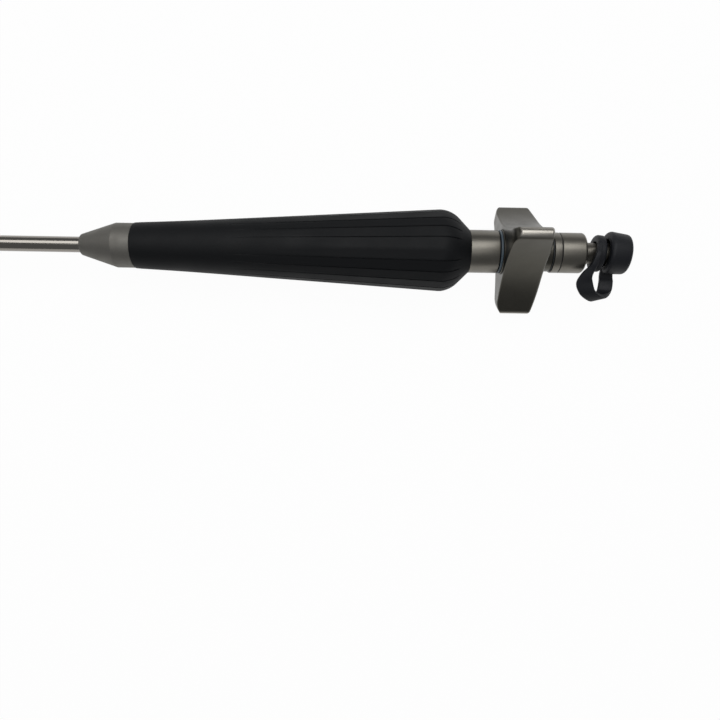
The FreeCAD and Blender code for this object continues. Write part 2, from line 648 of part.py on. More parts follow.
def tension_wires():
    """Two straight wires from the clamp to the anchor, one each side of the rockers."""
    anchor_x = pivot_x(len(HINGE_TURNS) - 1) - TIP_LINK_LENGTH + TIP_POCKET_DEPTH
    wires = []
    for side in (-1, 1):
        wires.append(rod(anchor_x + FACE_GAP, CLAMP_FRONT_X, WIRE_R, side * WIRE_OFFSET))
    return Part.makeCompound(wires)


def all_pieces():
    pieces = {
        "shaft_tube": shaft_tube(),
        "nose_cone": nose_cone(),
        "grip": grip(),
        "core_spindle": core_spindle(),
        "thrust_washer": thrust_washer(),
        "knob": knob(),
        "carrier_nut": carrier_nut(),
        "cross_pin": cross_pin(),
        "drawbar": drawbar(),
        "pull_rod": pull_rod(),
        "wire_clamp": wire_clamp(),
        "rear_washer": rear_washer(),
        "collar": collar(),
        "housing_gasket": housing_gasket(),
        "rear_housing": rear_housing(),
        "luer_port": luer_port(),
        "port_o_ring": port_o_ring(),
        "tether_ring": tether_ring(),
        "cap_strap": cap_strap(),
        "cap": cap(),
        "chain_base": chain_base(),
        "tip_link": tip_link(),
        "tip_anchor": tip_anchor(),
        "tip_cap": tip_cap(),
        "tension_wires": tension_wires(),
    }
    for number in range(len(HINGE_TURNS) - 1):
        pieces["link_%02d" % (number + 1)] = link(number)
    return pieces


os.makedirs("parts", exist_ok=True)
for name, shape in all_pieces().items():
    shape.exportStep("parts/" + name + ".step")
    print(name, "valid" if shape.isValid() else "INVALID", len(shape.Solids), round(shape.Volume, 2))
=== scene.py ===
import json
import math
import bmesh
import bpy
from mathutils import Matrix, Vector


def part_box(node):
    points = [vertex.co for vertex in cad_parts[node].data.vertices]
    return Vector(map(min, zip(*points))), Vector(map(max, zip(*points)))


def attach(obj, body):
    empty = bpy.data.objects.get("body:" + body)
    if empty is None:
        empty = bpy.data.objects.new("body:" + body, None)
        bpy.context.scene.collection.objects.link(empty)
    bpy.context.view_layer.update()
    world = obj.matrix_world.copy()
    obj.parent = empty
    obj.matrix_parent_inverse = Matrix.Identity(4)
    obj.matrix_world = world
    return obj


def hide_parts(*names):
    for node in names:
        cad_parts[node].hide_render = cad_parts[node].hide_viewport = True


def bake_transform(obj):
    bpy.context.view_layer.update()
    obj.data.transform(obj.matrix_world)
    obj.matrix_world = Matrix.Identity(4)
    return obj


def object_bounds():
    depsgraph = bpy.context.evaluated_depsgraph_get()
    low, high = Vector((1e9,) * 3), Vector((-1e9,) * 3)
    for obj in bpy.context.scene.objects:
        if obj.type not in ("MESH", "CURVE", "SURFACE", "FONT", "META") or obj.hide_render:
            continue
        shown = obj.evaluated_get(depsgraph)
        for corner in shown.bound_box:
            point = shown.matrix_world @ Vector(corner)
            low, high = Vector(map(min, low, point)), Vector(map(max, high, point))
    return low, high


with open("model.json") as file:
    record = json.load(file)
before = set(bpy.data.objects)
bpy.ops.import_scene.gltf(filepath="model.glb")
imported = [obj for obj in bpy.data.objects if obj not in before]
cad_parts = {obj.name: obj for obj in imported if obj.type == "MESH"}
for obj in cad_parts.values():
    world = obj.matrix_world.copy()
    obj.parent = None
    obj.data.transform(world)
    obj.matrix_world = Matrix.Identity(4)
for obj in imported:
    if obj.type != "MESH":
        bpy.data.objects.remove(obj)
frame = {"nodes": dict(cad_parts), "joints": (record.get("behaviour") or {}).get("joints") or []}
cad_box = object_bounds()


# Camera
# The instrument lies flat and is seen from straight above, from about 205 mm away. It sits above the
# middle of the picture and drops one degree to the right.
MM = 0.001
CAMERA_HEIGHT = 204.9 * MM
PICTURE_MIDDLE_X = 89.56 * MM
PICTURE_MIDDLE_Y = -35.4 * MM
PICTURE_TURN = math.radians(1.0)
PICTURE_WIDTH = 230.5 * MM
SENSOR_WIDTH = 36.0
NEAREST_SEEN = 10 * MM

camera_data = bpy.data.cameras.new("camera")
camera_data.sensor_width = SENSOR_WIDTH
camera_data.lens = SENSOR_WIDTH * CAMERA_HEIGHT / PICTURE_WIDTH
camera_data.clip_start = NEAREST_SEEN
camera = bpy.data.objects.new("camera", camera_data)
camera.location = (PICTURE_MIDDLE_X, PICTURE_MIDDLE_Y, CAMERA_HEIGHT)
camera.rotation_euler = (0, 0, PICTURE_TURN)
bpy.context.scene.collection.objects.link(camera)
bpy.context.scene.camera = camera


# Floor
# A plain white table top that the instrument rests on. It keeps the faint shadow under the grip and the
# knob, and looks white to the eye and in the metal alike.
def linear(hex_colour):
    """An sRGB hex colour as linear red, green, blue and full alpha."""
    channels = []
    for start in (1, 3, 5):
        value = int(hex_colour[start:start + 2], 16) / 255
        channels.append(value / 12.92 if value <= 0.04045 else ((value + 0.055) / 1.055) ** 2.4)
    return (*channels, 1.0)


def node(tree, kind, links_and_values, **settings):
    """Adds one node, sets it up, and fills its inputs with links or plain values."""
    made = tree.nodes.new(kind)
    for name, value in settings.items():
        setattr(made, name, value)
    for name, value in links_and_values.items():
        if isinstance(value, bpy.types.NodeSocket):
            tree.links.new(value, made.inputs[name])
        else:
            made.inputs[name].default_value = value
    return made


def new_material(name):
    """An empty material and its node tree."""
    material = bpy.data.materials.new(name)
    material.use_nodes = True
    material.node_tree.nodes.clear()
    return material, material.node_tree


FLOOR_WHITE_SHARE = 0.97
FLOOR_HALF = 3.0
FLOOR_GAP = 0.02 * MM       # below the instrument's lowest point, so that no two faces share a plane


def white_table_top():
    """Matt white laminate: even, without gloss, only a breath of shadow shows on it."""
    material, tree = new_material("white_laminate_table_top")
    light = node(tree, "ShaderNodeLightPath", {})
    seen = light.outputs["Is Camera Ray"]
    for ray in ("Is Glossy Ray", "Is Transmission Ray"):
        larger = node(tree, "ShaderNodeMath", {0: seen, 1: light.outputs[ray]}, operation="MAXIMUM")
        seen = larger.outputs[0]
    paint = node(tree, "ShaderNodeBsdfDiffuse", {"Color": linear("#e6e6e6")})
    glow = node(tree, "ShaderNodeEmission", {"Color": (1, 1, 1, 1), "Strength": 1.0})
    shown = node(tree, "ShaderNodeMixShader", {0: FLOOR_WHITE_SHARE, 1: paint.outputs[0],
                                               2: glow.outputs[0]})
    both = node(tree, "ShaderNodeMixShader", {0: seen, 1: paint.outputs[0], 2: shown.outputs[0]})
    node(tree, "ShaderNodeOutputMaterial", {"Surface": both.outputs[0]})
    return material


floor_z = cad_box[0][2] - FLOOR_GAP
floor_corners = [(x * FLOOR_HALF, y * FLOOR_HALF, floor_z)
                 for x, y in ((-1, -1), (1, -1), (1, 1), (-1, 1))]
floor_mesh = bpy.data.meshes.new("floor")
floor_mesh.from_pydata(floor_corners, [], [(0, 1, 2, 3)])
floor = bpy.data.objects.new("floor", floor_mesh)
bpy.context.scene.collection.objects.link(floor)
floor.data.materials.append(white_table_top())


# Light
# A wide soft window lamp stands high and a little beyond the instrument, so the far side of every round
# part is the lit one. A weaker lamp hangs over the table, and the room is even and pale.
ROOM_LEVEL = 0.24
WINDOW_PLACE = (0.05, 0.25, 0.52)
WINDOW_WIDTH = 0.9
WINDOW_HEIGHT = 0.35
WINDOW_WATTS = 2.28
CEILING_PLACE = (0.0, -0.1, 1.2)
CEILING_WIDTH = 0.8
CEILING_WATTS = 1.8
HANDLE_MIDDLE = Vector((0.09, 0.0, 0.0))

world = bpy.data.worlds.new("room")
world.use_nodes = True
world.node_tree.nodes.clear()
room = node(world.node_tree, "ShaderNodeBackground", {"Color": linear("#f4f6f8"), "Strength": ROOM_LEVEL})
node(world.node_tree, "ShaderNodeOutputWorld", {"Surface": room.outputs[0]})
bpy.context.scene.world = world
bpy.context.scene.view_settings.view_transform = "Standard"


def soft_lamp(name, place, width, height, watts):
    """A rectangular lamp that faces the middle of the handle."""
    data = bpy.data.lights.new(name, "AREA")
    data.shape = "RECTANGLE"
    data.size = width
    data.size_y = height
    data.energy = watts
    lamp = bpy.data.objects.new(name, data)
    lamp.location = place
    lamp.rotation_euler = (HANDLE_MIDDLE - Vector(place)).to_track_quat("-Z", "Y").to_euler()
    bpy.context.scene.collection.objects.link(lamp)


soft_lamp("window_lamp", WINDOW_PLACE, WINDOW_WIDTH, WINDOW_HEIGHT, WINDOW_WATTS)
soft_lamp("ceiling_lamp", CEILING_PLACE, CEILING_WIDTH, CEILING_WIDTH, CEILING_WATTS)


# Shaft
# Drawn and polished stainless steel tube, 5 mm across, brazed into the nose cone. It carries long
# bright and dark streaks, because a polished tube mirrors the room along its length.
CRISP_EDGE = math.radians(35)
WELD_DISTANCE = 0.0005 * MM


def soften(corners, steps=5):
    """A closed outline of distance and radius, each corner given as x, r and its own rounding."""
    outline = []
    count = len(corners)
    for index, (x, r, rounding) in enumerate(corners):
        here = Vector((x, r))
        if rounding <= 0:
            outline.append((x, r))
            continue
        back = Vector(corners[index - 1][:2]) - here
        ahead = Vector(corners[(index + 1) % count][:2]) - here
        half = back.angle(ahead) / 2
        reach = rounding / math.tan(half)
        start = here + back.normalized() * reach
        middle = here + (back.normalized() + ahead.normalized()).normalized() * (rounding / math.sin(half))
        turn = start - middle
        sweep = math.pi - 2 * half
        if back.x * ahead.y - back.y * ahead.x > 0:
            sweep = -sweep
        for step in range(steps + 1):
            angle = sweep * step / steps
            spoke = Vector((turn.x * math.cos(angle) - turn.y * math.sin(angle),
                            turn.x * math.sin(angle) + turn.y * math.cos(angle)))
            outline.append((middle.x + spoke.x, middle.y + spoke.y))
    return outline


def finished(name, points, faces, material, body, *cad_nodes):
    """Makes the object, shades it smooth except at crisp edges, and ties it to its body, if it has one."""
    mesh = bpy.data.meshes.new(name)
    mesh.from_pydata(points, [], faces)
    shape = bmesh.new()
    shape.from_mesh(mesh)
    bmesh.ops.remove_doubles(shape, verts=shape.verts, dist=WELD_DISTANCE)
    bmesh.ops.recalc_face_normals(shape, faces=shape.faces)
    shape.to_mesh(mesh)
    shape.free()
    mesh.shade_smooth()
    mesh.set_sharp_from_angle(angle=CRISP_EDGE)
    piece = bpy.data.objects.new(name, mesh)
    bpy.context.scene.collection.objects.link(piece)
    mesh.materials.append(material)
    if body:
        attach(piece, body)
    if cad_nodes:
        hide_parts(*cad_nodes)
    return piece


def woven(rows, per_row, closed=True, first=0):
    """Four-sided faces between neighbouring rows of points, each row being a closed ring of its own."""
    faces = []
    for row in range(rows if closed else rows - 1):
        here = first + row * per_row
        beside = first + (row + 1) % rows * per_row
        for index in range(per_row):
            after = (index + 1) % per_row
            faces.append((here + index, here + after, beside + after, beside + index))
    return faces


def lathe(outline, sides=128, reshape=None):
    """Points and faces of a closed outline, in millimetres, turned about the X axis."""
    points = []
    for side in range(sides):
        angle = 2 * math.pi * side / sides
        for x, r in outline:
            spot = Vector((x, r * math.cos(angle), r * math.sin(angle)))
            if reshape:
                spot = reshape(spot)
            points.append(spot * MM)
    return points, woven(sides, len(outline))


def metal(name, colour, roughness, grain_mm, grain_depth, tone_change, stretch=(1, 1, 1)):
    """A bare metal whose grain has the given size; a stretch below 1 draws it out along that axis."""
    cloud_mm = 4
    roughness_change = 0.1
    material, tree = new_material(name)
    place = node(tree, "ShaderNodeTexCoord", {})
    scaled = node(tree, "ShaderNodeMapping", {"Vector": place.outputs["Object"], "Scale": stretch})
    grain = node(tree, "ShaderNodeTexNoise", {"Vector": scaled.outputs[0], "Scale": 1 / (grain_mm * MM),
                                              "Detail": 3.0, "Roughness": 0.6})
    cloud = node(tree, "ShaderNodeTexNoise", {"Vector": place.outputs["Object"],
                                              "Scale": 1 / (cloud_mm * MM), "Detail": 2.0})
    base = linear(colour)
    darker = tuple(channel * (1 - tone_change) for channel in base[:3]) + (1.0,)
    lighter = tuple(min(channel * (1 + tone_change), 1.0) for channel in base[:3]) + (1.0,)
    blend = node(tree, "ShaderNodeMix", {0: grain.outputs["Fac"], 6: darker, 7: lighter}, data_type="RGBA")
    rough = node(tree, "ShaderNodeMapRange", {"Value": cloud.outputs["Fac"],
                                              "From Min": 0.3, "From Max": 0.7,
                                              "To Min": roughness * (1 - roughness_change),
                                              "To Max": roughness * (1 + roughness_change)})
    relief = node(tree, "ShaderNodeBump", {"Height": grain.outputs["Fac"], "Strength": 1.0,
                                           "Distance": grain_depth * MM})
    surface = node(tree, "ShaderNodeBsdfPrincipled", {"Base Color": blend.outputs[2], "Metallic": 1.0,
                                                      "Roughness": rough.outputs[0],
                                                      "Normal": relief.outputs[0]})
    node(tree, "ShaderNodeOutputMaterial", {"Surface": surface.outputs[0]})
    return material


SHAFT_R = 2.5
SHAFT_SEAT_R = 2.3
SHAFT_BORE_R = 2.0
SHAFT_END_EDGE = 0.1
SHAFT_END_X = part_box("shaft_tube")[0][0] / MM
SHAFT_SEAT_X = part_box("shaft_tube")[1][0] / MM
# drawn and polished tube: nearly a mirror, with hair lines along it
polished_steel = metal("polished_stainless_tube", "#8d8983", roughness=0.15, grain_mm=0.25,
                       grain_depth=0.0002, tone_change=0.05, stretch=(0.004, 1, 1))
points, faces = lathe(soften([(SHAFT_END_X, SHAFT_BORE_R, 0), (SHAFT_END_X, SHAFT_R, SHAFT_END_EDGE),
                              (0, SHAFT_R, 0), (0, SHAFT_SEAT_R, 0), (SHAFT_SEAT_X, SHAFT_SEAT_R, 0),
                              (SHAFT_SEAT_X, SHAFT_BORE_R, 0)]), sides=64)
finished("shaft_tube_skin", points, faces, polished_steel, "handle", "shaft_tube")


# Nose cone
# Stainless steel, turned to a cone and bead-blasted, so it is evenly satin with a fine grain. It screws
# on ahead of the grip and holds the shaft.
NOSE_TIP_R = 3.3
NOSE_TIP_EDGE = 0.7
NOSE_R = 7.07
NOSE_SHOULDER_X = 11.4
NOSE_SHOULDER_ROUNDING = 1.0
NOSE_REAR_EDGE = 0.15
NOSE_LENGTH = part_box("nose_cone")[1][0] / MM
NOSE_SEAT_X = 8.0           # the shaft goes in this far, and the spindle comes up to it from behind
CORE_SEAT_R = 4.52
BLAST_GRAIN_MM = 0.35       # glass beads leave dimples of about 0.1 mm; drawn coarser so that they show
# steel blasted with coarse beads, the dullest on the instrument
blasted_steel = metal("bead_blasted_stainless", "#7b7974", roughness=0.62, grain_mm=BLAST_GRAIN_MM,
                      grain_depth=0.008, tone_change=0.1)
points, faces = lathe(soften([(0, SHAFT_SEAT_R, 0), (0, NOSE_TIP_R, NOSE_TIP_EDGE),
                              (NOSE_SHOULDER_X, NOSE_R, NOSE_SHOULDER_ROUNDING),
                              (NOSE_LENGTH, NOSE_R, NOSE_REAR_EDGE), (NOSE_LENGTH, CORE_SEAT_R, 0),
                              (NOSE_SEAT_X, CORE_SEAT_R, 0), (NOSE_SEAT_X, SHAFT_SEAT_R, 0)], steps=8))
finished("nose_cone_skin", points, faces, blasted_steel, "handle", "nose_cone")


# Grip
# Black glass-filled polymer, moulded and left matte. Twenty narrow grooves fade in behind the waist with
# shallow flats between them and run out on the rear cone; two panels stay plain.
GRIP_FRONT_R = 7.25
GRIP_WAIST_X = 32.0
GRIP_WAIST_R = 7.9
GRIP_BULGE_R = 12.9
GRIP_DOME_R = 8.73
GRIP_DOME = math.radians(45)
GRIP_REAR_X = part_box("grip")[1][0] / MM
GRIP_BULGE_X = 113.9
NECK_R = 6.77
FLUTES = 22
FLUTE_HALF = 0.13
FLUTE_LIP = 0.08
FLUTE_DEPTH = 0.3
FLUTE_START_X = 46.0
FLUTE_FULL_X = 90.0
FLUTE_TILT = math.radians(6.8)
FLUTE_RUN_OUT = 3.4         # ahead of the grip's rear end
FLUTE_RUN_OUT_LENGTH = 0.9
FLUTE_SIDE_SHARE = 0.85     # of the depth, at the foot of a groove's sides
FLAT_HALF = math.radians(6.5)
FLAT_START_X = 50.0
FLAT_START_RISE = 0.05      # a flat begins this far above the skin, so that it grows from nothing
FLAT_FULL_X = 85.0


def grip_outline():
    """Outer line of the grip from front to rear, as distance and radius."""
    dome_r = GRIP_BULGE_R - GRIP_DOME_R
    cone_length = (dome_r + GRIP_DOME_R * math.cos(GRIP_DOME) - NECK_R) / math.tan(GRIP_DOME)
    dome_x = GRIP_REAR_X - cone_length - GRIP_DOME_R * math.sin(GRIP_DOME)
    front_edge = 0.3
    edge_steps = 4
    line = []
    for step in range(edge_steps, -1, -1):
        angle = math.pi / 2 * step / edge_steps
        line.append((NOSE_LENGTH + front_edge * (1 - math.sin(angle)),
                     GRIP_FRONT_R - front_edge * (1 - math.cos(angle))))
    waist_softening = 9.0
    slope_before = (GRIP_WAIST_R - GRIP_FRONT_R) / (GRIP_WAIST_X - NOSE_LENGTH)
    slope_after = (GRIP_BULGE_R - GRIP_WAIST_R) / (dome_x - GRIP_WAIST_X)
    waist_steps = 64
    first_x = line[-1][0]
    for step in range(1, waist_steps):
        x = first_x + (dome_x - first_x) * step / waist_steps
        away = x - GRIP_WAIST_X
        bend = (math.sqrt(away ** 2 + waist_softening ** 2) + away) / 2
        line.append((x, GRIP_WAIST_R + slope_before * (away - bend) + slope_after * bend))
    dome_steps = 12
    for step in range(dome_steps + 1):
        angle = GRIP_DOME * step / dome_steps
        line.append((dome_x + GRIP_DOME_R * math.sin(angle), dome_r + GRIP_DOME_R * math.cos(angle)))
    cone_steps = 8
    cone_x, cone_r = line[-1]
    for step in range(1, cone_steps + 1):
        share = step / cone_steps
        line.append((cone_x + (GRIP_REAR_X - cone_x) * share, cone_r + (NECK_R - cone_r) * share))
    return line


def flute_share(x):
    """How deep a groove is at x, from 0 ahead of it and behind it to 1 where it is full."""
    rising = min(max((x - FLUTE_START_X) / (FLUTE_FULL_X - FLUTE_START_X), 0), 1)
    run_out_x = GRIP_REAR_X - FLUTE_RUN_OUT
    falling = min(max((run_out_x - x) / FLUTE_RUN_OUT_LENGTH, 0), 1)
    return rising * falling


def flat_distance(x):
    """How far from the axis a flat between two grooves lies at x: it grows from nothing to full width."""
    slope = (GRIP_BULGE_R - GRIP_WAIST_R) / (GRIP_BULGE_X - GRIP_WAIST_X)
    inset = math.cos(FLAT_HALF)
    start_r = GRIP_WAIST_R + slope * (FLAT_START_X - GRIP_WAIST_X) + FLAT_START_RISE
    full_r = (GRIP_WAIST_R + slope * (FLAT_FULL_X - GRIP_WAIST_X)) * inset
    if x < FLAT_START_X:
        return math.inf
    if x < FLAT_FULL_X:
        return start_r + (full_r - start_r) * (x - FLAT_START_X) / (FLAT_FULL_X - FLAT_START_X)
    rear_share = min((x - FLAT_FULL_X) / (GRIP_BULGE_X - FLAT_FULL_X), 1)
    return full_r + (GRIP_BULGE_R * inset - full_r) * rear_share


def grip_mesh():
    """The grip's outline turned about the axis, with rays close together where grooves and flats lie."""
    line = grip_outline()
    outward = []
    for index in range(len(line)):
        before = Vector(line[max(index - 1, 0)])
        after = Vector(line[min(index + 1, len(line) - 1)])
        along = (after - before).normalized()
        outward.append(Vector((-along.y, along.x)))
    pitch = 2 * math.pi / FLUTES
    across = [(-FLUTE_HALF - FLUTE_LIP, 0), (-FLUTE_HALF, FLUTE_SIDE_SHARE), (0, 1),
              (FLUTE_HALF, FLUTE_SIDE_SHARE), (FLUTE_HALF + FLUTE_LIP, 0)]
    flat_steps = 4
    rays = []
    for number in range(FLUTES):
        middle = math.pi / 2 + FLUTE_TILT + pitch * number
        plain = number % (FLUTES // 2) == 0
        for offset, depth in across:
            rays.append((middle + offset / GRIP_BULGE_R, 0 if plain else depth, pitch / 2))
        for step in range(-flat_steps, flat_steps + 1):
            from_flat = FLAT_HALF * step / flat_steps
            rays.append((middle + pitch / 2 + from_flat, 0, from_flat))
    points = []
    for angle, depth, from_flat in rays:
        spots = [(NOSE_LENGTH, CORE_SEAT_R)]
        for (x, r), out in zip(line, outward):
            sunk = FLUTE_DEPTH * depth * flute_share(x)
            flat_r = flat_distance(x) / math.cos(from_flat)
            spots.append((x - out.x * sunk, min(r, flat_r) - out.y * sunk))
        spots.append((GRIP_REAR_X, CORE_SEAT_R))
        for x, r in spots:
            points.append(Vector((x, r * math.cos(angle), r * math.sin(angle))) * MM)
    return points, woven(len(rays), len(line) + 2)


def moulded_polymer(name, colour, roughness, grain_mm, grain_depth, specular=0.5):
    """A moulded plastic or rubber: one even colour, a fine tool grain, and a broad soft shine."""
    wear_mm = 9
    darkest = 0.85
    lightest = 1.2
    roughness_change = 0.06
    material, tree = new_material(name)
    place = node(tree, "ShaderNodeTexCoord", {})
    grain = node(tree, "ShaderNodeTexNoise", {"Vector": place.outputs["Object"],
                                              "Scale": 1 / (grain_mm * MM),
                                              "Detail": 2.0, "Roughness": 0.55})
    wear = node(tree, "ShaderNodeTexNoise", {"Vector": place.outputs["Object"],
                                             "Scale": 1 / (wear_mm * MM), "Detail": 3.0})
    base = linear(colour)
    darker = tuple(channel * darkest for channel in base[:3]) + (1.0,)
    lighter = tuple(channel * lightest for channel in base[:3]) + (1.0,)
    blend = node(tree, "ShaderNodeMix", {0: wear.outputs["Fac"], 6: darker, 7: lighter}, data_type="RGBA")
    rough = node(tree, "ShaderNodeMapRange", {"Value": wear.outputs["Fac"],
                                              "From Min": 0.3, "From Max": 0.7,
                                              "To Min": roughness * (1 - roughness_change),
                                              "To Max": roughness * (1 + roughness_change)})
    relief = node(tree, "ShaderNodeBump", {"Height": grain.outputs["Fac"], "Strength": 1.0,
                                           "Distance": grain_depth * MM})
    surface = node(tree, "ShaderNodeBsdfPrincipled", {"Base Color": blend.outputs[2],
                                                      "Roughness": rough.outputs[0], "IOR": 1.5,
                                                      "Specular IOR Level": specular,
                                                      "Normal": relief.outputs[0]})
    node(tree, "ShaderNodeOutputMaterial", {"Surface": surface.outputs[0]})
    return material


# glass-filled polymer: matte, because the mould is eroded, and hardly shiny even at a low angle
grip_polymer = moulded_polymer("matte_black_glass_filled_polymer", "#05070a", roughness=0.62,
                               grain_mm=0.3, grain_depth=0.004, specular=0.24)
points, faces = grip_mesh()
finished("grip_skin", points, faces, grip_polymer, "handle", "grip")


# Core spindle
# Stainless steel tube through the grip; behind the grip it is the bare satin neck, and its thinner
# spigot carries the knob, the collar and the rear housing.
CORE_R = 4.5
CORE_BORE_R = 3.2
SPIGOT_R = 4.3
CORE_FRONT_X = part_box("core_spindle")[0][0] / MM
CORE_REAR_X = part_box("core_spindle")[1][0] / MM
NECK_LENGTH = 9.0
NECK_FRONT_EDGE = 0.1
NECK_REAR_EDGE = 0.25
NECK_REAR_X = GRIP_REAR_X + NECK_LENGTH
# steel turned and then blasted with fine beads: satin, with a soft streak
satin_steel = metal("satin_stainless", "#74716a", roughness=0.38, grain_mm=BLAST_GRAIN_MM,
                    grain_depth=0.012, tone_change=0.14)
points, faces = lathe(soften([(CORE_FRONT_X, CORE_BORE_R, 0), (CORE_FRONT_X, CORE_R, 0),
                              (GRIP_REAR_X, CORE_R, 0), (GRIP_REAR_X, NECK_R, NECK_FRONT_EDGE),
                              (NECK_REAR_X, NECK_R, NECK_REAR_EDGE), (NECK_REAR_X, SPIGOT_R, 0),
                              (CORE_REAR_X, SPIGOT_R, 0), (CORE_REAR_X, CORE_BORE_R, 0)]))
finished("core_spindle_skin", points, faces, satin_steel, "handle", "core_spindle")


# Thrust washer
# Thin polymer washer between the neck and the knob. It lies loose round the spigot and slides dry, so the
# knob turns without wearing the neck.
WASHER_R = 6.85
WASHER_EDGE = 0.12
SPIGOT_HOLE_R = 4.35
# bearing polymer with a blue-grey dye, smooth because it is cut from sheet
washer_polymer = moulded_polymer("blue_grey_bearing_polymer", "#4a5760", roughness=0.4,
                                 grain_mm=0.3, grain_depth=0.002)


def ring_piece(node_name, outer, inner, edge, material):
    """A plain ring of the handle, as long as its CAD solid, with its two outer edges rounded."""
    low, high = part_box(node_name)
    ring_points, ring_faces = lathe(soften([(low[0] / MM, inner, 0), (low[0] / MM, outer, edge),
                                            (high[0] / MM, outer, edge), (high[0] / MM, inner, 0)]))
    finished(node_name + "_skin", ring_points, ring_faces, material, "handle", node_name)


ring_piece("thrust_washer", WASHER_R, SPIGOT_HOLE_R, WASHER_EDGE, washer_polymer)


# Knob
# Stainless steel, milled to three lobes with long hollow flanks and bead-blasted. Its faces roll off
# towards the lobes, the lobes' tips carry a painted highlight, and a short hub runs back to the washer.
KNOB_TIP_R = 20.6
KNOB_LOBE_ROUNDING = 2.0
KNOB_FLANK_HOLLOW = 2.8
KNOB_FIRST_LOBE = math.radians(83.2)
KNOB_LOBES = 3
KNOB_BOSS_R = 7.2
KNOB_BOSS_HEIGHT = 0.4
KNOB_BOSS_EDGE = 0.15
KNOB_FRONT_FLAT_R = 16.0
KNOB_FRONT_DROP = 2.6
KNOB_REAR_FLAT_R = 9.0
KNOB_REAR_DROP = 1.6
KNOB_FRONT_EDGE = 0.45
KNOB_REAR_EDGE = 0.9
KNOB_CHAMBER_R = 6.0
KNOB_HUB_R = 6.0
KNOB_HUB_LENGTH = 2.65
KNOB_HUB_FILLET = 0.6
KNOB_HUB_EDGE = 0.2
KNOB_REAR_WALL = 3.2
KNOB_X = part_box("knob")[0][0] / MM
KNOB_REAR_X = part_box("knob")[1][0] / MM
KNOB_ROOT_X = KNOB_REAR_X - KNOB_HUB_LENGTH
KNOB_HIGHLIGHT_R = 20.3          # from here to the tip the steel carries a painted highlight
KNOB_HIGHLIGHT_FADE = 0.5


def knob_outline():
    """Spots round the lobed outline with the outward direction at each, on lobe and flank arcs."""
    lobe_steps = 24
    flank_steps = 48
    lobe_centre = KNOB_TIP_R - KNOB_LOBE_ROUNDING
    half_step = math.pi / KNOB_LOBES
    waist = lobe_centre * math.cos(half_step) + KNOB_LOBE_ROUNDING - KNOB_FLANK_HOLLOW
    flank_r = (waist ** 2 + lobe_centre ** 2 - 2 * waist * lobe_centre * math.cos(half_step)
               - KNOB_LOBE_ROUNDING ** 2) / (2 * KNOB_FLANK_HOLLOW)
    flank_centre = waist + flank_r
    lobe_sweep = math.atan2(flank_centre * math.sin(half_step),
                            flank_centre * math.cos(half_step) - lobe_centre)
    flank_sweep = lobe_sweep - half_step
    spots = []
    for number in range(KNOB_LOBES):
        turn = KNOB_FIRST_LOBE + 2 * half_step * number
        middle = Vector((math.cos(turn), math.sin(turn))) * lobe_centre
        for step in range(lobe_steps + 1):
            angle = turn - lobe_sweep + 2 * lobe_sweep * step / lobe_steps
            out = Vector((math.cos(angle), math.sin(angle)))
            spots.append((middle + out * KNOB_LOBE_ROUNDING, out))
        flank_turn = turn + half_step
        middle = Vector((math.cos(flank_turn), math.sin(flank_turn))) * flank_centre
        for step in range(1, flank_steps):
            angle = flank_turn + flank_sweep - 2 * flank_sweep * step / flank_steps
            out = Vector((math.cos(angle), math.sin(angle)))
            spots.append((middle - out * flank_r, out))
    return spots


def rolled_x(flat_x, flat_r, drop, r):
    """Where a face that is flat to flat_r and then rolls off in an arc lies at radius r."""
    past_tip = 0.5
    rise = KNOB_TIP_R + past_tip - flat_r
    arc_r = (drop ** 2 + rise ** 2) / (2 * abs(drop))
    beyond = max(r - flat_r, 0)
    return flat_x + math.copysign(arc_r - math.sqrt(arc_r ** 2 - beyond ** 2), drop)


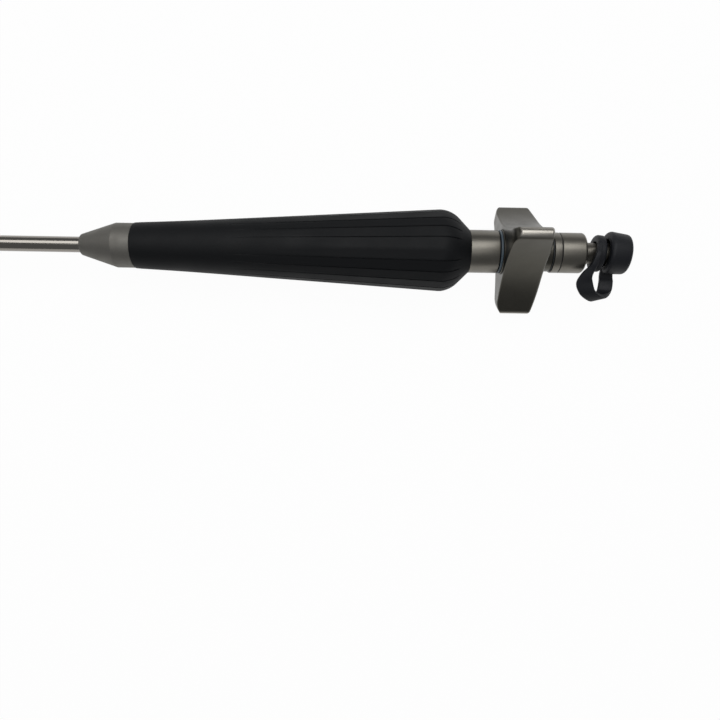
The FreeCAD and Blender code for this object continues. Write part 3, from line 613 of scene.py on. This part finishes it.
def knob_mesh():
    """Rays that run from the bore over the front face, the outer edge, the rear face and the hub."""
    face_x = KNOB_X + KNOB_BOSS_HEIGHT
    face_steps = 12
    front_steps = 5
    rear_steps = 7
    fillet_steps = 5
    points = []
    spots = knob_outline()
    for spot, out in spots:
        direction = spot.normalized()
        inner = spot - out * KNOB_FRONT_EDGE
        ray = [(KNOB_REAR_X, direction * SPIGOT_HOLE_R),
               (KNOB_REAR_X - KNOB_REAR_WALL, direction * SPIGOT_HOLE_R),
               (KNOB_REAR_X - KNOB_REAR_WALL, direction * KNOB_CHAMBER_R),
               (KNOB_X, direction * KNOB_CHAMBER_R),
               (KNOB_X, direction * (KNOB_BOSS_R - KNOB_BOSS_EDGE)),
               (KNOB_X + KNOB_BOSS_EDGE, direction * KNOB_BOSS_R),
               (face_x, direction * KNOB_BOSS_R)]
        start = direction * KNOB_BOSS_R
        for step in range(1, face_steps + 1):
            place = start.lerp(inner, step / face_steps)
            ray.append((rolled_x(face_x, KNOB_FRONT_FLAT_R, KNOB_FRONT_DROP, place.length), place))
        front_x = ray[-1][0]
        for step in range(1, front_steps + 1):
            angle = math.pi / 2 * step / front_steps
            ray.append((front_x + KNOB_FRONT_EDGE * (1 - math.cos(angle)),
                        inner + out * (KNOB_FRONT_EDGE * math.sin(angle))))
        inner = spot - out * KNOB_REAR_EDGE
        rear_x = rolled_x(KNOB_ROOT_X, KNOB_REAR_FLAT_R, -KNOB_REAR_DROP, inner.length)
        for step in range(rear_steps + 1):
            angle = math.pi / 2 * step / rear_steps
            ray.append((rear_x - KNOB_REAR_EDGE * (1 - math.sin(angle)),
                        inner + out * (KNOB_REAR_EDGE * math.cos(angle))))
        start = direction * (KNOB_HUB_R + KNOB_HUB_FILLET)
        for step in range(1, face_steps):
            place = inner.lerp(start, step / face_steps)
            ray.append((rolled_x(KNOB_ROOT_X, KNOB_REAR_FLAT_R, -KNOB_REAR_DROP, place.length), place))
        for step in range(fillet_steps + 1):
            angle = math.pi / 2 * step / fillet_steps
            r = KNOB_HUB_R + KNOB_HUB_FILLET * (1 - math.sin(angle))
            ray.append((KNOB_ROOT_X + KNOB_HUB_FILLET * (1 - math.cos(angle)), direction * r))
        ray.append((KNOB_REAR_X - KNOB_HUB_EDGE, direction * KNOB_HUB_R))
        ray.append((KNOB_REAR_X, direction * (KNOB_HUB_R - KNOB_HUB_EDGE)))
        for x, place in ray:
            points.append(Vector((x, place.x, place.y)) * MM)
    return points, woven(len(spots), len(points) // len(spots))


def steel_with_painted_tip_highlight(name, colour, highlight_colour, roughness):
    """Satin steel with a painted highlight: a brighter colour where it stands furthest from the axis."""
    material = metal(name, colour, roughness, BLAST_GRAIN_MM, grain_depth=0.008, tone_change=0.12)
    tree = material.node_tree
    shader = tree.nodes["Principled BSDF"]
    place = tree.nodes["Texture Coordinate"]
    flat = node(tree, "ShaderNodeVectorMath", {0: place.outputs["Object"], 1: (0, 1, 1)},
                operation="MULTIPLY")
    reach = node(tree, "ShaderNodeVectorMath", {0: flat.outputs[0]}, operation="LENGTH")
    # painted highlight: beyond this radius the lobe tips take the bright colour, in place of the light
    # streaks along them
    tip_highlight = node(tree, "ShaderNodeMapRange", {"Value": reach.outputs["Value"],
                                             "From Min": (KNOB_HIGHLIGHT_R - KNOB_HIGHLIGHT_FADE) * MM,
                                             "From Max": KNOB_HIGHLIGHT_R * MM})
    body_colour = shader.inputs["Base Color"].links[0].from_socket
    shown = node(tree, "ShaderNodeMix", {0: tip_highlight.outputs[0], 6: body_colour, 7: linear(highlight_colour)},
                 data_type="RGBA")
    tree.links.new(shown.outputs[2], shader.inputs["Base Color"])
    return material


# steel blasted with fine beads; its colour is darkened as painted shade for the flanks, and its lobe tips
# carry a painted highlight
knob_steel_with_painted_light = steel_with_painted_tip_highlight("satin_stainless_painted_shade_and_highlight", "#504e48", "#a8a49c", roughness=0.34)
points, faces = knob_mesh()
finished("knob_skin", points, faces, knob_steel_with_painted_light, "knob", "knob")


# Rear washer, collar, gasket and rear housing
# The collar keeps the knob on and the housing screws up behind it; a dark rubber gasket shows as the
# seam between them, and a thin polymer washer, dark grey as painted shade of the gap, as the line ahead of
# the collar.
REAR_R = 6.38
REAR_EDGE = 0.2
REAR_THREAD_R = 4.32        # collar, gasket and housing sit on the spindle's threaded end
REAR_WASHER_EDGE = 0.1
GASKET_R = 6.2
GASKET_EDGE = 0.05
HOUSING_ROUNDING = 0.9
PORT_HOLE_R = 2.62
PORT_WALL = 2.6
HOUSING_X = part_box("rear_housing")[0][0] / MM
HOUSING_REAR_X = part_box("rear_housing")[1][0] / MM
# nitrile rubber, dull from the mould
seal_rubber = moulded_polymer("black_nitrile_rubber", "#141416", roughness=0.6,
                              grain_mm=0.3, grain_depth=0.003)
# bearing polymer coloured dark grey: painted shade for the gap between the knob's hub and the collar
gap_shade_polymer = moulded_polymer("bearing_polymer_painted_gap_shade", "#33373a", roughness=0.45,
                               grain_mm=0.3, grain_depth=0.002)
ring_piece("rear_washer", KNOB_HUB_R, SPIGOT_HOLE_R, REAR_WASHER_EDGE, gap_shade_polymer)
ring_piece("collar", REAR_R, REAR_THREAD_R, REAR_EDGE, satin_steel)
ring_piece("housing_gasket", GASKET_R, REAR_THREAD_R, GASKET_EDGE, seal_rubber)
points, faces = lathe(soften([(HOUSING_X, REAR_THREAD_R, 0), (HOUSING_X, REAR_R, REAR_EDGE),
                              (HOUSING_REAR_X, REAR_R, HOUSING_ROUNDING),
                              (HOUSING_REAR_X, PORT_HOLE_R, 0),
                              (HOUSING_REAR_X - PORT_WALL, PORT_HOLE_R, 0),
                              (HOUSING_REAR_X - PORT_WALL, REAR_THREAD_R, 0)], steps=8))
finished("rear_housing_skin", points, faces, satin_steel, "handle", "rear_housing")


# Flushing port
# Turned stainless stem that presses into the rear housing. The turning tool leaves fine rings round it,
# so its shine breaks into bands along the stem. The CAD solid has the lugs and the tapered mouth.
TURNED_RING_MM = 0.5
# steel left as turned; the grain is drawn out round the stem, as the tool goes
turned_steel = metal("fine_turned_stainless", "#65625c", roughness=0.42, grain_mm=TURNED_RING_MM,
                     grain_depth=0.004, tone_change=0.08, stretch=(1, 0.02, 0.02))


def dress(node_name, material):
    """Gives a CAD piece that keeps its own shape its real finish."""
    piece = frame["nodes"][node_name]
    piece.data.materials.clear()
    piece.data.materials.append(material)


dress("luer_port", turned_steel)
dress("port_o_ring", seal_rubber)


# Tether ring and cap
# One soft black rubber moulding with the strap: the ring sits on the stem and leans a little, and the
# cap is pushed over the port's mouth slightly askew.
RING_TO_HOUSING = 3.4
RING_WIDTH = 2.8
RING_R = 5.8
RING_HOLE_R = 3.7
RING_EDGE = 0.84
HOLE_EDGE = 0.3
RUBBER_SIDES = 96
RING_TILT = math.radians(-6)
CAP_TO_HOUSING = 7.25
CAP_FRONT_R = 6.85
CAP_FRONT_EDGE = 1.3
CAP_REAR_R = 6.25
CAP_REAR_EDGE = 1.2
CAP_LENGTH = 7.0
CAP_HOLLOW_R = 4.4
CAP_HOLLOW_DEPTH = 5.45
AXIS_R = 0.001              # where a closed end meets the axis
CAP_TILT = math.radians(-5)
CAP_ASKEW = 0.35
ring_x = HOUSING_REAR_X + RING_TO_HOUSING
cap_x = HOUSING_REAR_X + CAP_TO_HOUSING
# silicone rubber: black with a breath of blue, and only softly shiny
cap_rubber = moulded_polymer("matte_black_silicone_rubber", "#0e1016", roughness=0.55,
                             grain_mm=0.4, grain_depth=0.004, specular=0.35)


def leaning(pivot_x, tilt):
    """A function that tilts a spot about an upright line through the axis at pivot_x."""
    pivot = Vector((pivot_x, 0, 0))
    turn = Matrix.Rotation(tilt, 3, "Z")
    return lambda spot: turn @ (spot - pivot) + pivot


points, faces = lathe(soften([(ring_x, RING_HOLE_R, HOLE_EDGE), (ring_x, RING_R, RING_EDGE),
                              (ring_x + RING_WIDTH, RING_R, RING_EDGE),
                              (ring_x + RING_WIDTH, RING_HOLE_R, HOLE_EDGE)]),
                      sides=RUBBER_SIDES, reshape=leaning(ring_x + RING_WIDTH / 2, RING_TILT))
finished("tether_ring_skin", points, faces, cap_rubber, "tether", "tether_ring")
cap_lean = leaning(cap_x, CAP_TILT)
points, faces = lathe(soften([(cap_x, CAP_HOLLOW_R, HOLE_EDGE), (cap_x, CAP_FRONT_R, CAP_FRONT_EDGE),
                              (cap_x + CAP_LENGTH, CAP_REAR_R, CAP_REAR_EDGE),
                              (cap_x + CAP_LENGTH, AXIS_R, 0), (cap_x + CAP_HOLLOW_DEPTH, AXIS_R, 0),
                              (cap_x + CAP_HOLLOW_DEPTH, CAP_HOLLOW_R, HOLE_EDGE)], steps=8),
                      sides=RUBBER_SIDES,
                      reshape=lambda spot: cap_lean(spot) + Vector((0, CAP_ASKEW, 0)))
finished("cap_skin", points, faces, cap_rubber, "cap", "cap")


# Cap strap
# The strap of the same moulding, narrow where it leaves the ring and then flat and wide. It hangs down,
# turns under itself and comes up again to the cap, so both sides of the loop show their flat face.
STRAP_WIDTH = 4.9
STRAP_THICKNESS = 1.5
STRAP_EDGE = 0.35
STRAP_STATIONS = 144
ring_top = RING_R + STRAP_THICKNESS / 2
# the middle line, the way the width points, and the share of the full width, from the ring to the cap
STRAP = [
    ((ring_x + 0.6, 1.9, ring_top - 1.8), (1.0, 0.0, 0.0), 0.35),
    ((ring_x - 0.4, -1.1, ring_top + 0.1), (0.97, -0.24, 0.0), 0.35),
    ((ring_x - 1.3, -3.9, ring_top - 0.4), (0.95, -0.32, 0.0), 0.37),
    ((ring_x - 1.9, -5.4, ring_top - 1.2), (0.92, -0.38, 0.0), 0.43),
    ((ring_x - 3.0, -7.3, 4.3), (0.93, -0.3, 0.19), 0.67),
    ((ring_x - 3.5, -9.6, 3.1), (0.97, 0.15, 0.21), 1.0),
    ((ring_x - 2.0, -12.8, 2.0), (0.96, 0.12, 0.24), 1.0),
    ((ring_x + 1.7, -14.2, 0.1), (0.95, 0.24, 0.21), 0.96),
    ((cap_x + 0.8, -12.0, -2.4), (0.98, 0.0, 0.18), 0.94),
    ((cap_x + 1.6, -8.8, -2.9), (1.0, 0.0, 0.05), 0.9),
    ((cap_x + 1.4, -7.1, -2.4), (1.0, 0.02, 0.0), 0.86),
    ((cap_x + 1.3, -5.8, -1.9), (1.0, 0.02, 0.0), 0.82),
    ((cap_x + 1.3, -4.6, -1.5), (1.0, 0.02, 0.0), 0.74),
]


def smooth_between(rows, share):
    """A point on the smooth curve through the rows, share running from 0 to 1."""
    spans = len(rows) - 1
    span = min(int(share * spans), spans - 1)
    t = share * spans - span
    p0 = Vector(rows[max(span - 1, 0)])
    p1 = Vector(rows[span])
    p2 = Vector(rows[span + 1])
    p3 = Vector(rows[min(span + 2, spans)])
    return 0.5 * (2 * p1 + (p2 - p0) * t + (2 * p0 - 5 * p1 + 4 * p2 - p3) * t ** 2
                  + (3 * p1 - p0 - 3 * p2 + p3) * t ** 3)


def strap_mesh():
    """A flat section with rounded edges, carried along the strap's middle line."""
    corner_steps = 3
    look_ahead = 0.01
    centres = [row[0] for row in STRAP]
    halves = [Vector(row[1]).normalized() * (STRAP_WIDTH * row[2] / 2) for row in STRAP]
    section = []
    for corner_x, corner_y in ((1, 1), (-1, 1), (-1, -1), (1, -1)):
        start = math.atan2(corner_y, corner_x) - math.pi / 4
        for step in range(corner_steps + 1):
            angle = start + math.pi / 2 * step / corner_steps
            section.append((corner_x, STRAP_EDGE * (math.cos(angle) - corner_x),
                            corner_y * (STRAP_THICKNESS / 2 - STRAP_EDGE) + STRAP_EDGE * math.sin(angle)))
    points = []
    for index in range(STRAP_STATIONS + 1):
        share = index / STRAP_STATIONS
        centre = smooth_between(centres, share)
        along = (smooth_between(centres, min(share + look_ahead, 1))
                 - smooth_between(centres, max(share - look_ahead, 0)))
        half_width = smooth_between(halves, share)
        across = half_width.normalized()
        through = along.cross(across).normalized()
        for side, inset, thick in section:
            points.append((centre + half_width * side + across * inset + through * thick) * MM)
    count = len(section)
    ends = [tuple(range(count)), tuple(range(STRAP_STATIONS * count, (STRAP_STATIONS + 1) * count))]
    return points, woven(STRAP_STATIONS + 1, count, closed=False) + ends


points, faces = strap_mesh()
strap = finished("cap_strap_skin", points, faces, cap_rubber, None, "cap_strap")
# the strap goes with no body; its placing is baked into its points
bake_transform(strap)


# Jointed tip
# Short polished steel links that rock on half-round bars, with a brazed base piece and a blunt welded
# end. They are small, so their own CAD shapes stay and only get their finish.
link_names = sorted(name for name in frame["nodes"] if name.startswith("link_"))
# steel milled all over and tumbled to a polish, with the mill's fine marks across the link
link_steel = metal("polished_stainless_link", "#a09c96", roughness=0.26, grain_mm=0.3,
                   grain_depth=0.003, tone_change=0.08, stretch=(1, 0.05, 0.05))
for name in ["chain_base", "tip_link", "tip_cap"] + link_names:
    dress(name, link_steel)


# Tension wires
# Two bright drawn steel wires run through the links, one each side of the rockers. Each hinge has its
# own short, straight length of wire, tied to no body.
WIRE_R = 0.3
WIRE_OFFSET = 1.3
WIRE_SIDES = 10
WIRE_STATIONS = 14
# steel drawn through a die: bright, with lines along the wire
drawn_steel = metal("drawn_stainless_wire", "#9a968f", roughness=0.25, grain_mm=0.2,
                    grain_depth=0.002, tone_change=0.1, stretch=(0.1, 1, 1))


def wire_pair(rear_x, front_x):
    """Both wires between two places on the axis, as round bars with closed ends."""
    points = []
    faces = []
    for side in (-1, 1):
        first = len(points)
        for station in range(WIRE_STATIONS + 1):
            x = rear_x + (front_x - rear_x) * station / WIRE_STATIONS
            for step in range(WIRE_SIDES):
                angle = 2 * math.pi * step / WIRE_SIDES
                points.append(Vector((x, side * WIRE_OFFSET + WIRE_R * math.cos(angle),
                                      WIRE_R * math.sin(angle))) * MM)
        last = first + WIRE_STATIONS * WIRE_SIDES
        faces += woven(WIRE_STATIONS + 1, WIRE_SIDES, closed=False, first=first)
        faces += [tuple(range(end, end + WIRE_SIDES)) for end in (first, last)]
    return points, faces


hinges = [joint for joint in frame["joints"] if joint["name"].startswith("hinge_")]
wire_low, wire_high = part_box("tension_wires")
cuts = [wire_high[0] / MM]
for before, after in zip(hinges, hinges[1:]):
    cuts.append((before["pos_m"][0] + after["pos_m"][0]) / 2 / MM)
cuts.append(wire_low[0] / MM)
for number, hinge in enumerate(hinges):
    points, faces = wire_pair(cuts[number], cuts[number + 1])
    wire = finished("tension_wire_%02d" % (number + 1), points, faces, drawn_steel, None, "tension_wires")
    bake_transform(wire)


# Inner drive
# Ground steel drawbar, rod, pin, clamp and ferrule, and the nut that the knob winds back. All of it is
# hidden in the handle, the shaft and the tip, so the CAD shapes stay.
DRIVE_STEEL = ("cross_pin", "drawbar", "pull_rod", "wire_clamp", "tip_anchor")
# steel ground to size, with the wheel's lines along the rod
ground_steel = metal("ground_stainless", "#96938c", roughness=0.28, grain_mm=0.3,
                     grain_depth=0.002, tone_change=0.06, stretch=(0.1, 1, 1))
# bearing bronze left as machined, against which the knob's steel runs without seizing
nut_bronze = metal("machined_bronze", "#9a7444", roughness=0.35, grain_mm=0.4,
                   grain_depth=0.004, tone_change=0.08)
for name in DRIVE_STEEL:
    dress(name, ground_steel)
dress("carrier_nut", nut_bronze)
